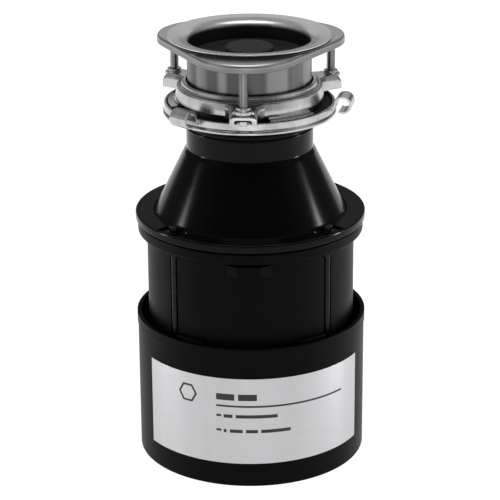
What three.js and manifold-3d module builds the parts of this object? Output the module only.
// Kitchen garbage disposal, three-screw quick-lock mount. Millimetres, +Z up.
// Heights are measured up from the foot of the casing while the pieces are made.
// The whole is then hung so that z = 0 is the sink surface that the sink flange seats on.
import * as THREE from 'three';
import { mergeVertices } from 'three/addons/utils/BufferGeometryUtils.js';
import Module from 'manifold-3d';

const wasm = await Module();
wasm.setup();

// ---- driving dimensions ----
const SEAT_HEIGHT = 296.9;       // foot of the casing to the seat under the sink flange
const GAP = 0.3;                 // clearance between pieces that touch
const CASING_RADIUS = 80;        // lip of the lower casing, 160 mm across
const CASING_HEIGHT = 102.1;
const CASING_WALL = 2.5;
const LIP_STEP = 0.5;            // the lip stands this proud of the casing's side
const LIP_HEIGHT = 8;
const BODY_RADIUS = 71.8;        // visible middle of the body
const BODY_WALL = 2.8;
const BODY_FOOT = 98.5;           // it reaches down inside the casing's mouth
const FLOOR_LOW = 112;           // floor between the waste chamber and the motor
const FLOOR_HIGH = 115;
const LOWER_FLANGE_RADIUS = 78;
const LOWER_FLANGE_LOW = 161.8;
const LOWER_FLANGE_HIGH = 169.3;
const UPPER_FLANGE_RADIUS = 79.5;
const UPPER_FLANGE_LOW = 170.8;
const UPPER_FLANGE_HIGH = 176.3;
const NECK_RADIUS = 43.5;
const NECK_TOP = 249.3;
const SLEEVE_RADIUS = 42.3;      // sink flange sleeve, outside
const THROAT_RADIUS = 41.3;      // and inside
const RIM_RADIUS = 55.5;         // sink flange rim
const RIM_TOP = 299.5;
const PLATE_TOP = 296.0;         // backup flange
const PLATE_SKIRT = 290.0;
const LOBE_OFFSET = 33;          // centres of the backup flange's corner arcs
const LOBE_RADIUS = 35.5;
const MOUNT_AZIMUTHS = [-3.8, 116.2, -123.8];  // ears and mounting screws
const LUG_AZIMUTHS = [-42, 78, 198];           // curled lugs of the lower ring
const SCREW_CIRCLE = 62.6;
const SCREW_RADIUS = 3.0;
const BOLT_AZIMUTHS = [-46.5, 46.5, 133.5, -133.5];
const BOLT_CIRCLE = 71.0;
const BOLT_RADIUS = 2.0;
const SHAFT_RADIUS = 6.3;
const TURNTABLE_RADIUS = 60.4;
const TURNTABLE_TOP = 152.5;
const LUG_PIVOT_CIRCLE = 43.5;
const SWIVEL_LUG_AZIMUTHS = [30, 210];
const OUTLET_HEIGHT = 132;       // centre of the discharge port
const PIPE_RADIUS = 19.05;       // 1-1/2 in tailpipe
const PIPE_WALL = 2.6;
const ELBOW_BEND = 24;
const INLET_HEIGHT = 199;        // centre of the dishwasher inlet
const INLET_RADIUS = 11.1;       // 7/8 in hose tail
const CLIP_AZIMUTHS = [-55, 55, 125, -125];    // clips inside the casing's mouth
const BUTTON_PLACE = [26, -24];
const GROMMET_PLACE = [-44, 26];
const COVER_SCREWS = [[-47, -31], [-13, -31]];
const GROUND_PLACE = [-20, 48];
const ROUND = 32;                // facets of a large ring
const COARSE = 20;
const FINE = 12;

// ---- finishes ----
function finish(color, metalness, roughness) {
  return new THREE.MeshStandardMaterial({ color, metalness, roughness });
}

const satinBlack = finish(0x101011, 0, 0.42);
const glossBlack = finish(0x060607, 0, 0.14);
const brushedSteel = finish(0xb9bbbd, 1, 0.3);
const zincPlate = finish(0xaeb0b1, 1, 0.28);
const castGrey = finish(0x9c9ea0, 1, 0.42);
const blackRubber = finish(0x0d0d0e, 0, 0.75);
const greyFibre = finish(0x46423c, 0, 0.9);
const labelSilver = finish(0xc4c6c8, 1, 0.4);
const darkSteel = finish(0x2a2b2d, 1, 0.4);
const lamination = finish(0x5a5b5e, 1, 0.5);
const copper = finish(0x9a4d23, 1, 0.35);
const bronze = finish(0x8c6a3a, 1, 0.4);
const buttonRed = finish(0xa51414, 0, 0.35);
const groundGreen = finish(0x1d6b35, 1, 0.4);
const paintedFrame = finish(0x17181a, 0.3, 0.5);

// ---- making solids ----
const rad = THREE.MathUtils.degToRad;

// A place at a radius and an azimuth: 0 faces the front (-Y), 90 the right (+X).
function place(radius, azimuth) {
  return [radius * Math.sin(rad(azimuth)), -radius * Math.cos(rad(azimuth))];
}

// Keeps positions only, merges shared vertices, drops slivers and faces the surface outwards.
function closed(geometry) {
  const bare = new THREE.BufferGeometry();
  bare.setAttribute('position', geometry.getAttribute('position').clone());
  if (geometry.index) bare.setIndex(geometry.index);
  const merged = mergeVertices(bare, 1e-3);
  const source = merged.index.array;
  const p = merged.getAttribute('position');
  const corner = (i) => new THREE.Vector3().fromBufferAttribute(p, i);
  const kept = [];
  let volume = 0;
  for (let i = 0; i < source.length; i += 3) {
    const [a, b, c] = [source[i], source[i + 1], source[i + 2]];
    if (a === b || b === c || a === c) continue;
    kept.push([a, b, c]);
    volume += corner(a).dot(corner(b).cross(corner(c)));
  }
  const index = kept.flatMap(([a, b, c]) => (volume < 0 ? [a, c, b] : [a, b, c]));
  merged.setIndex(index);
  return merged;
}

function toManifold(geometry) {
  const g = closed(geometry);
  return new wasm.Manifold(new wasm.Mesh({
    numProp: 3,
    vertProperties: new Float32Array(g.getAttribute('position').array),
    triVerts: new Uint32Array(g.index.array),
  }));
}

function fromManifold(solid) {
  const m = solid.getMesh();
  const g = new THREE.BufferGeometry();
  g.setAttribute('position', new THREE.BufferAttribute(new Float32Array(m.vertProperties), 3));
  g.setIndex(Array.from(m.triVerts));
  return g;
}

function cut(base, ...tools) {
  return tools.reduce((left, tool) => left.subtract(toManifold(tool)), base);
}

function join(base, ...pieces) {
  return pieces.reduce((left, piece) => left.add(toManifold(piece)), base);
}

// A profile of [radius, height] points turned about +Z.
function turned(profile, segments = COARSE) {
  const points = profile.map(([r, z]) => new THREE.Vector2(r, z));
  const onAxis = profile[0][0] === 0 && profile[profile.length - 1][0] === 0;
  if (!onAxis) points.push(points[0].clone());
  return new THREE.LatheGeometry(points, segments).rotateX(Math.PI / 2);
}

function ring(inner, outer, low, high, segments = COARSE) {
  return turned([[inner, low], [outer, low], [outer, high], [inner, high]], segments);
}

function rod(radius, low, high, segments = FINE) {
  return new THREE.CylinderGeometry(radius, radius, high - low, segments)
    .rotateX(Math.PI / 2).translate(0, 0, (low + high) / 2);
}

// A rod along Y, from one y to another, centred on x = 0 and a height.
function crossRod(radius, from, to, height, segments = FINE) {
  return new THREE.CylinderGeometry(radius, radius, to - from, segments)
    .translate(0, (from + to) / 2, height);
}

function block(width, depth, height, x, y, z) {
  return new THREE.BoxGeometry(width, depth, height).translate(x, y, z);
}

function outline(points) {
  return new THREE.Shape(points.map(([x, y]) => new THREE.Vector2(x, y)));
}

function slab(shape, low, high, curveSegments = 12) {
  return new THREE.ExtrudeGeometry(shape, { depth: high - low, bevelEnabled: false, curveSegments })
    .translate(0, 0, low);
}

// Stands a piece made at the front (-Y) round at an azimuth.
function swung(geometry, azimuth) {
  return geometry.clone().rotateZ(rad(azimuth));
}

const disposer = new THREE.Group();
const pieces = new THREE.Group();
disposer.add(pieces);

function add(name, shape, material) {
  const geometry = shape instanceof THREE.BufferGeometry ? closed(shape) : fromManifold(shape);
  const mesh = new THREE.Mesh(geometry, material);
  mesh.name = name;
  pieces.add(mesh);
  return mesh;
}

// ---- sink mount ----
function sinkFlange() {
  const groove = [[SLEEVE_RADIUS, 265], [41.8, 264.9], [41.8, 262.5], [SLEEVE_RADIUS, 262.4]];
  return turned([
    [55, RIM_TOP], [RIM_RADIUS, 298.9], [55, 298.3], [45.4, 296.9],
    [SLEEVE_RADIUS, 294.6], ...groove, [SLEEVE_RADIUS, 252.8], [THROAT_RADIUS, 252.8],
    [THROAT_RADIUS, 294.8], [42.2, 296.9], [44.4, 298],
  ], ROUND);
}

// Hull of three arcs: the rounded triangle of the backup flange, offset inwards by an inset.
function lobedOutline(inset) {
  const points = [];
  const corners = [...MOUNT_AZIMUTHS].sort((a, b) => a - b);
  for (const azimuth of corners) {
    const [cx, cy] = place(LOBE_OFFSET, azimuth);
    for (let k = -4; k <= 4; k += 1) {
      const [x, y] = place(LOBE_RADIUS - inset, azimuth + k * 15);
      points.push([cx + x, cy + y]);
    }
  }
  return outline(points);
}

function backupFlange() {
  const plate = toManifold(slab(lobedOutline(0), PLATE_SKIRT, PLATE_TOP - 2));
  const crown = slab(lobedOutline(0.6), PLATE_TOP - 2, PLATE_TOP - 0.7);
  const top = slab(lobedOutline(2), PLATE_TOP - 0.7, PLATE_TOP);
  const hollow = slab(lobedOutline(1.8), PLATE_SKIRT - 1, PLATE_TOP - 2.2);
  return cut(join(plate, crown, top), hollow, rod(45.4, PLATE_SKIRT - 1, PLATE_TOP + 1, ROUND));
}

const EAR_TOP = 264.4;
const EAR_LOW = 254.6;
const EAR_ROOT = 47.5;
const EAR_END = 66.5;
const EAR_HALF_WIDTH = 9.2;
const EAR_SHEET = 2.4;

// An inverted channel that points outwards from the ring's skirt, with a threaded collar on top.
function ear() {
  const w = EAR_HALF_WIDTH;
  const t = EAR_SHEET;
  const channel = outline([
    [-w, EAR_LOW], [-w + t, EAR_LOW], [-w + t, EAR_TOP - t - 1], [-w + t + 1, EAR_TOP - t],
    [w - t - 1, EAR_TOP - t], [w - t, EAR_TOP - t - 1], [w - t, EAR_LOW], [w, EAR_LOW],
    [w, EAR_TOP - 3], [w - 3, EAR_TOP], [-w + 3, EAR_TOP], [-w, EAR_TOP - 3],
  ]);
  const body = new THREE.ExtrudeGeometry(channel, { depth: EAR_END - EAR_ROOT, bevelEnabled: false })
    .rotateX(Math.PI / 2).translate(0, -EAR_ROOT, 0);
  const collar = rod(4.6, EAR_TOP - 1, EAR_TOP + 3).translate(0, -SCREW_CIRCLE, 0);
  const bore = rod(SCREW_RADIUS + 0.35, EAR_LOW, EAR_TOP + 5).translate(0, -SCREW_CIRCLE, 0);
  return { body, collar, bore };
}

// A rolled lip, a step down to a land, then a skirt.
const UPPER_RING_OUTSIDE = [
  [43.1, 268.3], [45.8, 268.3], [46.4, 265.4], [48.4, 265.2], [49.8, 262.4], [50.4, 255.6],
];
const UPPER_RING_INSIDE = [
  [48.9, 255.6], [48.3, 261.8], [47.4, 263.6], [45.4, 263.7], [45.3, 266.4], [43.1, 266.4],
];
const RAMP = { low: 252.6, step: 254.2, outer: 55.6, from: 18, to: 54 };

// A flat stretch of ring between two azimuths.
function sector(inner, outer, low, high, from, to) {
  const steps = 4;
  const azimuths = Array.from({ length: steps + 1 }, (_, k) => from + ((to - from) * k) / steps);
  const outside = azimuths.map((azimuth) => place(outer, azimuth));
  const inside = azimuths.map((azimuth) => place(inner, azimuth)).reverse();
  return slab(outline([...outside, ...inside]), low, high);
}

// The pressed ring that hangs on the snap ring: three ears for the screws, three ramps for the twist lock.
function upperMountingRing() {
  let solid = toManifold(turned([...UPPER_RING_OUTSIDE, ...UPPER_RING_INSIDE], ROUND));
  const inner = toManifold(turned([[0, 240], [UPPER_RING_INSIDE[0][0], 240], ...UPPER_RING_INSIDE,
    [0, UPPER_RING_INSIDE[5][1]]], ROUND));
  const { body, collar, bore } = ear();
  for (const azimuth of MOUNT_AZIMUTHS) {
    const arm = join(toManifold(swung(body, azimuth)), swung(collar, azimuth)).subtract(inner);
    solid = solid.add(arm);
    solid = cut(solid, swung(bore, azimuth));
    solid = join(solid, swung(sector(48.9, 50.4, RAMP.low, 256.5, RAMP.from, RAMP.to), azimuth),
      swung(sector(49.4, RAMP.outer, RAMP.low, RAMP.step, RAMP.from, RAMP.to), azimuth));
  }
  return solid;
}

function mountScrew() {
  const threaded = toManifold(turned([[0, 256.4], [SCREW_RADIUS, 256.4], [SCREW_RADIUS, 292.6],
    [SCREW_RADIUS - 0.8, 293.4], [0, 293.4]], FINE));
  const head = rod(4.3, 254.3, 257.5, 6);
  return cut(join(threaded, head), block(1.2, 12, 1.2, 0, 0, 254.3));
}

const LOWER_RING_OUTER = 58.2;
const LOWER_RING_TOP = 253.4;

function lowerMountingRing() {
  const band = toManifold(turned([
    [44.4, 245.2], [LOWER_RING_OUTER, 245.2], [59.2, 246.6], [LOWER_RING_OUTER, 248],
    [LOWER_RING_OUTER, LOWER_RING_TOP], [56.4, LOWER_RING_TOP], [56.4, 247], [44.4, 247],
  ], ROUND));
  return join(band, ...LUG_AZIMUTHS.map((azimuth) => swung(curledLug(), azimuth)));
}

// A strip that rises outside the upper ring and curls outwards and under, nearly closed.
function curledLug() {
  const curl = { radius: 6.2, x: 65.2, z: 254.7, sheet: 1.8 };
  const outside = [];
  const inside = [];
  for (let k = 0; k <= 8; k += 1) {
    const angle = rad(180 - k * 37.5);
    outside.push([curl.x + curl.radius * Math.cos(angle), curl.z + curl.radius * Math.sin(angle)]);
    const r = curl.radius - curl.sheet;
    inside.unshift([curl.x + r * Math.cos(angle), curl.z + r * Math.sin(angle)]);
  }
  const strip = outline([[57.4, 250.2], [57.4, 253], ...outside, ...inside, [60.4, 251.6]]);
  const width = 14;
  return new THREE.ExtrudeGeometry(strip, { depth: width, bevelEnabled: false })
    .translate(0, 0, -width / 2).rotateX(Math.PI / 2).rotateZ(-Math.PI / 2);
}

function snapRing() {
  const shape = new THREE.Shape();
  const open = rad(8);
  shape.absarc(0, 0, 44.8, open, Math.PI * 2 - open, false);
  shape.absarc(0, 0, 42.8, Math.PI * 2 - open, open, true);
  return slab(shape, 262.7, 264.7, 18).rotateZ(Math.PI / 2);
}

// Rubber gasket that seals the sleeve to the neck, with the splash baffle's leaves inside it.
function mountingGasket() {
  const body = toManifold(turned([
    [8, 242.2], [36, 248.2], [40.4, 249.7], [55.2, 249.7], [55.2, 251.8], [47.6, 252.3], [47.2, 260],
    [43, 261], [43, 252], [39, 252], [8, 244.2],
  ], COARSE));
  const slits = [0, 1, 2, 3].map((k) => block(1.2, 66, 14, 0, 0, 245).rotateZ((k * Math.PI) / 4));
  return cut(body, ...slits);
}

function sinkStopper() {
  return turned([
    [0, 281], [36, 281], [40.4, 284], [39.6, 286], [35, 284.6], [8, 284.6], [8, 287],
    [16, 288], [17, 290.2], [15.6, 291.2], [0, 291.5],
  ], 24);
}

// ---- waste chamber ----
// Clearance holes for the four through bolts.
function boltHoles(low, high) {
  return BOLT_AZIMUTHS.map((azimuth) => {
    const [x, y] = place(BOLT_CIRCLE, azimuth);
    return rod(BOLT_RADIUS + 0.35, low, high, 8).translate(x, y, 0);
  });
}

function upperContainer() {
  const shell = toManifold(turned([
    [49.5, 247.3], [49.5, NECK_TOP], [41, NECK_TOP], [41, 223.5], [54, 197.3], [62, 176],
    [62, UPPER_FLANGE_LOW], [UPPER_FLANGE_RADIUS, UPPER_FLANGE_LOW], [UPPER_FLANGE_RADIUS, 175.5],
    [UPPER_FLANGE_RADIUS - 0.9, UPPER_FLANGE_HIGH], [65.6, UPPER_FLANGE_HIGH], [55.8, 197.3],
    [45.4, 218.5], [NECK_RADIUS, 222.5], [NECK_RADIUS, 247.3],
  ], ROUND));
  const cavity = toManifold(turned([
    [0, 170], [62, 170], [62, 176], [54, 197.3], [46.8, 211.8], [0, 211.8],
  ], ROUND));
  const inletTube = toManifold(crossRod(INLET_RADIUS, 45, 74, INLET_HEIGHT)).subtract(cavity);
  return cut(shell.add(inletTube), crossRod(8.6, 40, 76, INLET_HEIGHT), ...boltHoles(168, 178));
}

const PAD_FACE = 75;             // flat face that the discharge gasket seats on
const PAD_SCREW_X = 28;

function lowerContainer() {
  const inner = BODY_RADIUS - BODY_WALL;
  let solid = toManifold(turned([
    [inner, BODY_FOOT], [BODY_RADIUS, BODY_FOOT], [BODY_RADIUS, LOWER_FLANGE_LOW],
    [LOWER_FLANGE_RADIUS, LOWER_FLANGE_LOW], [LOWER_FLANGE_RADIUS, LOWER_FLANGE_HIGH],
    [inner, LOWER_FLANGE_HIGH], [inner, FLOOR_HIGH], [15, FLOOR_HIGH], [15, 126.8], [9, 126.8],
    [9, FLOOR_LOW], [inner, FLOOR_LOW],
  ], ROUND));
  // Bosses inside the wall leave room for the bolt grooves outside it.
  const boss = block(13, 5, 165.9 - FLOOR_LOW, 0, -68.9, (165.9 + FLOOR_LOW) / 2);
  const grooveLow = BODY_FOOT - 1;
  const groove = block(7, 6, LOWER_FLANGE_LOW - grooveLow, 0, -71.7, (LOWER_FLANGE_LOW + grooveLow) / 2);
  for (const azimuth of BOLT_AZIMUTHS) {
    solid = cut(join(solid, swung(boss, azimuth)), swung(groove, azimuth));
  }
  solid = cut(solid, ...boltHoles(160, 172));
  const hookPlan = outline([[-15.2, -70], [-7.8, -76], [7.8, -76], [15.2, -70]]);
  solid = join(solid, swung(slab(hookPlan, 151.6, 159.4), -1));
  // Foot tabs beside the grooves fill part of the gap inside the casing's mouth.
  const tab = sector(BODY_RADIUS - 1, 75.9, 101.2, 103.7, 26, 42);
  solid = join(solid, ...[0, -68, 112, 180].map((turn) => swung(tab, turn)));
  const pad = toManifold(block(70, 16, 46, 0, PAD_FACE - 8, OUTLET_HEIGHT))
    .subtract(toManifold(rod(inner, 90, 180, ROUND)));
  solid = solid.add(pad);
  const port = crossRod(PIPE_RADIUS - PIPE_WALL, 50, 80, OUTLET_HEIGHT, 24);
  const screwHole = crossRod(2.5, 71.5, 80, OUTLET_HEIGHT);
  const screwHoles = [-1, 1].map((side) => screwHole.clone().translate(side * PAD_SCREW_X, 0, 0));
  return cut(solid, port, ...screwHoles);
}

// Fixed ring whose inner edge is broken into cutting teeth.
function stationaryShredder() {
  const teeth = 20;
  const step = 360 / teeth;
  const shape = outline(Array.from({ length: 40 }, (_, k) => place(65.8, k * 9)));
  const hole = new THREE.Path();
  for (let k = 0; k < teeth; k += 1) {
    const notch = [[61.6, 0], [61.6, step * 0.5], [63.8, step * 0.56], [63.8, step * 0.94]];
    notch.forEach(([radius, turn], i) => {
      const [x, y] = place(radius, k * step + turn);
      if (k === 0 && i === 0) hole.moveTo(x, y);
      else hole.lineTo(x, y);
    });
  }
  hole.closePath();
  shape.holes.push(hole);
  return join(toManifold(slab(shape, 148.6, 168.4)), ring(65.2, 68.5, 166.4, 168.9, ROUND));
}

function turntable() {
  const disc = toManifold(turned([
    [SHAFT_RADIUS + GAP, 146], [12, 146], [14, 150], [TURNTABLE_RADIUS - 2, 150],
    [TURNTABLE_RADIUS, 148.6], [TURNTABLE_RADIUS, TURNTABLE_TOP], [15, TURNTABLE_TOP], [13, 156],
    [SHAFT_RADIUS + GAP, 156],
  ], ROUND));
  const drains = Array.from({ length: 6 }, (_, k) => {
    const [x, y] = place(50, k * 60);
    return rod(2.6, 140, 160, 6).translate(x, y, 0);
  });
  const rivets = SWIVEL_LUG_AZIMUTHS.map((azimuth) => {
    const [x, y] = place(LUG_PIVOT_CIRCLE, azimuth);
    return rod(3.1, 140, 160, 10).translate(x, y, 0);
  });
  return cut(disc, ...drains, ...rivets);
}

// A stamped lug: a flat tongue with a raised hammer face, free to swing on its rivet.
function swivelLug() {
  const plan = new THREE.Shape();
  plan.moveTo(-7, -7);
  plan.lineTo(9, -6);
  plan.absarc(10, 0, 6, -Math.PI / 2, Math.PI / 2, false);
  plan.lineTo(-7, 7);
  plan.absarc(-8, 0, 7, Math.PI / 2, Math.PI * 1.5, false);
  const tongue = toManifold(slab(plan, TURNTABLE_TOP + GAP, TURNTABLE_TOP + 3.3, 6));
  const hammer = block(5, 10.5, 10, 13, 0, TURNTABLE_TOP + 8);
  return cut(join(tongue, hammer), rod(3.3, 150, 170, 12));
}

function rivet() {
  const head = TURNTABLE_TOP + 3.6;
  return turned([
    [0, 147.4], [4.2, 147.4], [4.2, 149.6], [2.8, 149.6], [2.8, head], [5.4, head], [5, head + 1.6],
    [0, head + 2.2],
  ], 14);
}

// ---- motor ----
function shaft() {
  const bar = toManifold(turned([
    [0, 8], [5.6, 8], [SHAFT_RADIUS, 8.8], [SHAFT_RADIUS, 156.6], [4, 156.8], [4, 163], [0, 163],
  ], 24));
  const hexSocket = rod(3.66, 5, 11, 6);
  return cut(bar, hexSocket);
}

function hexNut(across, low, high, bore) {
  const corner = across / 2 / Math.cos(Math.PI / 6);
  const nut = rod(corner, low, high, 6);
  return cut(toManifold(nut), rod(bore, low - 1, high + 1, 20));
}

function statorCore() {
  const slots = 12;
  const step = 360 / slots;
  const shape = outline(Array.from({ length: 36 }, (_, k) => place(61.4, k * 10)));
  const hole = new THREE.Path();
  for (let k = 0; k < slots; k += 1) {
    const tooth = [[32.6, 0], [32.6, step * 0.62], [50, step * 0.56], [50, step * 1.06]];
    tooth.forEach(([radius, turn], i) => {
      const [x, y] = place(radius, k * step + turn);
      if (k === 0 && i === 0) hole.moveTo(x, y);
      else hole.lineTo(x, y);
    });
  }
  hole.closePath();
  shape.holes.push(hole);
  return slab(shape, 44, 86);
}

function winding(low, high) {
  const mid = (low + high) / 2;
  return turned([[38, low], [50, low], [54, mid], [50, high], [38, high], [35.5, mid]], 20);
}

function lowerEndFrame() {
  const plate = toManifold(turned([
    [10.6, 5], [17, 5], [19, 8], [70.5, 8], [72, 4], [75.4, 4], [75.4, 11.5], [19, 11.5], [17, 20],
    [10.6, 20],
  ], ROUND));
  const bolts = boltHoles(0, 14);
  const button = rod(6.7, 0, 14, 20).translate(BUTTON_PLACE[0], BUTTON_PLACE[1], 0);
  const cable = rod(12.4, 0, 14, 20).translate(GROMMET_PLACE[0], GROMMET_PLACE[1], 0);
  const access = block(26, 18, 8, -30, -31, 10);
  const holes = [...COVER_SCREWS, GROUND_PLACE].map(([x, y]) => rod(1.9, 0, 14, 10).translate(x, y, 0));
  return cut(plate, ...bolts, button, cable, access, ...holes);
}

function panScrew(headLow, headHigh, shankTop) {
  return turned([
    [0, headLow], [3, headLow], [3.6, headLow + 0.8], [3.6, headHigh], [1.6, headHigh],
    [1.6, shankTop], [0, shankTop],
  ], FINE);
}

function throughBolt() {
  const seat = UPPER_FLANGE_HIGH + GAP;
  return turned([
    [0, 5], [BOLT_RADIUS, 5], [BOLT_RADIUS, seat], [4.4, seat], [4.4, seat + 2.1], [3.4, seat + 2.9],
    [0, seat + 2.9],
  ], FINE);
}

// ---- casing ----
function trimShell() {
  const side = CASING_RADIUS - LIP_STEP;
  const inner = side - CASING_WALL;
  const shell = toManifold(turned([
    [68, 0], [side - 0.8, 0], [side, 0.8], [side, CASING_HEIGHT - LIP_HEIGHT],
    [CASING_RADIUS, CASING_HEIGHT - LIP_HEIGHT + 0.6], [CASING_RADIUS, CASING_HEIGHT - 0.5],
    [CASING_RADIUS - 0.5, CASING_HEIGHT], [inner, CASING_HEIGHT], [inner, 2.4], [68, 2.4],
  ], ROUND));
  const clip = block(2.4, 3, 9, 0, -(inner - 1.2), CASING_HEIGHT - 6);
  return join(shell, ...CLIP_AZIMUTHS.map((azimuth) => swung(clip, azimuth)));
}

const LABEL = { low: 17.5, high: 80.5, from: -60, to: 65, inner: 79.66, outer: 79.94 };

function ratingLabel() {
  const steps = 20;
  const at = (k) => LABEL.from + ((LABEL.to - LABEL.from) * k) / steps;
  const points = [];
  for (let k = 0; k <= steps; k += 1) points.push(place(LABEL.outer, at(k)));
  for (let k = steps; k >= 0; k -= 1) points.push(place(LABEL.inner, at(k)));
  return slab(outline(points), LABEL.low, LABEL.high);
}

// ---- discharge ----
const ELBOW_FACE = 78.7;
const ELBOW_END = 60;            // height of the elbow's open lower end

function dischargeGasket() {
  const disc = toManifold(crossRod(24, PAD_FACE + GAP, ELBOW_FACE - GAP, OUTLET_HEIGHT, 24));
  return cut(disc, crossRod(PIPE_RADIUS - PIPE_WALL, 70, 82, OUTLET_HEIGHT, 24));
}

function dischargeElbow() {
  const turn = ELBOW_FACE + 6;
  const section = (radius) => {
    const s = new THREE.Shape();
    s.absarc(0, 0, radius, 0, Math.PI * 2, false);
    return s;
  };
  const pipe = (radius, from, to) => {
    const points = [new THREE.Vector3(0, from, OUTLET_HEIGHT)];
    for (let k = 0; k <= 4; k += 1) {
      const a = (k / 4) * (Math.PI / 2);
      const out = turn + ELBOW_BEND * Math.sin(a);
      const down = OUTLET_HEIGHT - ELBOW_BEND * (1 - Math.cos(a));
      points.push(new THREE.Vector3(0, out, down));
    }
    points.push(new THREE.Vector3(0, turn + ELBOW_BEND, to));
    return toManifold(new THREE.ExtrudeGeometry(section(radius), {
      steps: 14, bevelEnabled: false, curveSegments: 8,
      extrudePath: new THREE.CatmullRomCurve3(points, false, 'centripetal'),
    }));
  };
  const outer = pipe(PIPE_RADIUS, ELBOW_FACE, ELBOW_END);
  const bore = pipe(PIPE_RADIUS - PIPE_WALL, ELBOW_FACE - 2, ELBOW_END - 2);
  const collar = crossRod(24.5, ELBOW_FACE, ELBOW_FACE + 3.2, OUTLET_HEIGHT, 24);
  return join(outer, collar).subtract(bore);
}

function dischargeFlange() {
  const shape = new THREE.Shape();
  shape.absarc(PAD_SCREW_X + 1, 0, 7.5, -Math.PI / 2.6, Math.PI / 2.6, false);
  shape.absarc(0, 0, 26, Math.PI / 3.2, Math.PI - Math.PI / 3.2, false);
  shape.absarc(-PAD_SCREW_X - 1, 0, 7.5, Math.PI - Math.PI / 2.6, Math.PI + Math.PI / 2.6, false);
  shape.absarc(0, 0, 26, Math.PI + Math.PI / 3.2, -Math.PI / 3.2, false);
  const hole = new THREE.Path();
  hole.absarc(0, 0, PIPE_RADIUS + 0.8, 0, Math.PI * 2, true);
  shape.holes.push(hole);
  for (const side of [-1, 1]) {
    const screwHole = new THREE.Path();
    screwHole.absarc(side * PAD_SCREW_X, 0, 2.6, 0, Math.PI * 2, true);
    shape.holes.push(screwHole);
  }
  return slab(shape, 0, 2.4, 6).rotateX(-Math.PI / 2).translate(0, ELBOW_FACE + 3.5, OUTLET_HEIGHT);
}

function flangeScrew(x) {
  const face = ELBOW_FACE + 3.5 + 2.4 + GAP;
  const shank = toManifold(crossRod(2.1, 73, face + 1, OUTLET_HEIGHT, 12));
  const head = new THREE.CylinderGeometry(4.6, 4.6, 3.4, 6).translate(0, face + 1.7, OUTLET_HEIGHT);
  return join(shank, head).translate([x, 0, 0]);
}

// ---- assembly ----
add('sink_flange', sinkFlange(), brushedSteel);
add('fibre_gasket', ring(47, 53.5, PLATE_TOP + 0.15, PLATE_TOP + 0.7), greyFibre);
add('backup_flange', backupFlange(), castGrey);
add('upper_mounting_ring', upperMountingRing(), zincPlate);
MOUNT_AZIMUTHS.forEach((azimuth, i) => {
  const screw = add(`mount_screw_${i + 1}`, mountScrew(), zincPlate);
  const [x, y] = place(SCREW_CIRCLE, azimuth);
  screw.position.set(x, y, 0);
});
add('snap_ring', snapRing(), darkSteel);
add('lower_mounting_ring', lowerMountingRing(), zincPlate);
add('mounting_gasket', mountingGasket(), blackRubber);
add('sink_stopper', sinkStopper(), blackRubber);

add('upper_container', upperContainer(), glossBlack);
add('inlet_plug', crossRod(8.2, 58, 61, INLET_HEIGHT), satinBlack);
add('container_gasket', ring(73.6, 77, 169.6, 170.5, ROUND), blackRubber);
add('lower_container', lowerContainer(), satinBlack);
add('stationary_shredder', stationaryShredder(), brushedSteel);
add('turntable', turntable(), brushedSteel);
SWIVEL_LUG_AZIMUTHS.forEach((azimuth, i) => {
  const [x, y] = place(LUG_PIVOT_CIRCLE, azimuth);
  const lug = add(`swivel_lug_${i + 1}`, swivelLug(), brushedSteel);
  lug.position.set(x, y, 0);
  lug.rotation.z = rad(azimuth - 90);
  add(`lug_rivet_${i + 1}`, rivet(), darkSteel).position.set(x, y, 0);
});
add('turntable_nut', hexNut(16, 156.9, 161.4, 4.4), darkSteel);

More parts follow.
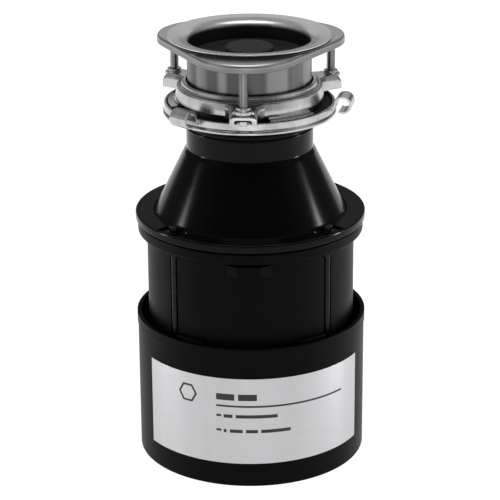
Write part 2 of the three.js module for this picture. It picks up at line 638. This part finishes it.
add('shaft_seal', ring(SHAFT_RADIUS + 0.35, 12, 127.2, 131.4, 24), blackRubber);
add('slinger', turned([
  [SHAFT_RADIUS + GAP, 133], [15, 133], [17, 131.4], [17, 135], [SHAFT_RADIUS + GAP, 137],
], 24), satinBlack);
add('upper_bearing', ring(SHAFT_RADIUS + GAP, 8.6, 112.4, 126.4, 24), bronze);
add('shaft', shaft(), darkSteel);
add('rotor_core', ring(SHAFT_RADIUS + GAP, 31.6, 42, 88, COARSE), lamination);
add('switch_collar', turned([[SHAFT_RADIUS + GAP, 28], [17, 28], [18, 29.5], [12, 34], [12, 39],
  [SHAFT_RADIUS + GAP, 39]], 24), satinBlack);
add('stator_core', statorCore(), lamination);
add('winding_upper', winding(86.5, 107), copper);
add('winding_lower', winding(24, 43.5), copper);
add('motor_housing', ring(62.2, 64.4, 12, 111.6, ROUND), darkSteel);
add('lower_end_frame', lowerEndFrame(), paintedFrame);
add('lower_bearing', ring(SHAFT_RADIUS + GAP, 10.2, 8.5, 19.6, 24), bronze);
add('thrust_washer', ring(SHAFT_RADIUS + GAP, 11, 20.4, 22, 20), bronze);
add('start_switch', block(14, 8, 10, 0, 27, 17), paintedFrame);
add('overload_protector', block(18, 16, 8, BUTTON_PLACE[0], BUTTON_PLACE[1], 19.6), paintedFrame);
add('reset_button', turned([[0, 3.2], [5, 3.2], [5.6, 3.8], [5.6, 12.2], [0, 12.2]], 20), buttonRed)
  .position.set(BUTTON_PLACE[0], BUTTON_PLACE[1], 0);
add('terminal_cover', cut(toManifold(block(42, 26, 1.4, -30, -31, 7)),
  ...COVER_SCREWS.map(([x, y]) => rod(1.9, 5, 9, 10).translate(x, y, 0))), zincPlate);
COVER_SCREWS.forEach(([x, y], i) => {
  add(`cover_screw_${i + 1}`, panScrew(3.9, 6, 11), zincPlate).position.set(x, y, 0);
});
add('ground_screw', panScrew(5.6, 7.7, 12), groundGreen).position.set(GROUND_PLACE[0], GROUND_PLACE[1], 0);
add('cable_grommet', turned([[8.8, 5.4], [14.4, 5.4], [14.4, 7.6], [12, 7.7], [12, 11.7], [8.8, 11.7]], 24),
  blackRubber).position.set(GROMMET_PLACE[0], GROMMET_PLACE[1], 0);
BOLT_AZIMUTHS.forEach((azimuth, i) => {
  const [x, y] = place(BOLT_CIRCLE, azimuth);
  add(`through_bolt_${i + 1}`, throughBolt(), satinBlack).position.set(x, y, 0);
});

add('trim_shell', trimShell(), satinBlack);
add('rating_label', ratingLabel(), labelSilver);
add('discharge_gasket', dischargeGasket(), blackRubber);
add('discharge_elbow', dischargeElbow(), satinBlack);
add('discharge_flange', dischargeFlange(), zincPlate);
[-1, 1].forEach((side, i) => add(`flange_screw_${i + 1}`, flangeScrew(side * PAD_SCREW_X), zincPlate));

pieces.position.z = -SEAT_HEIGHT;

export default disposer;
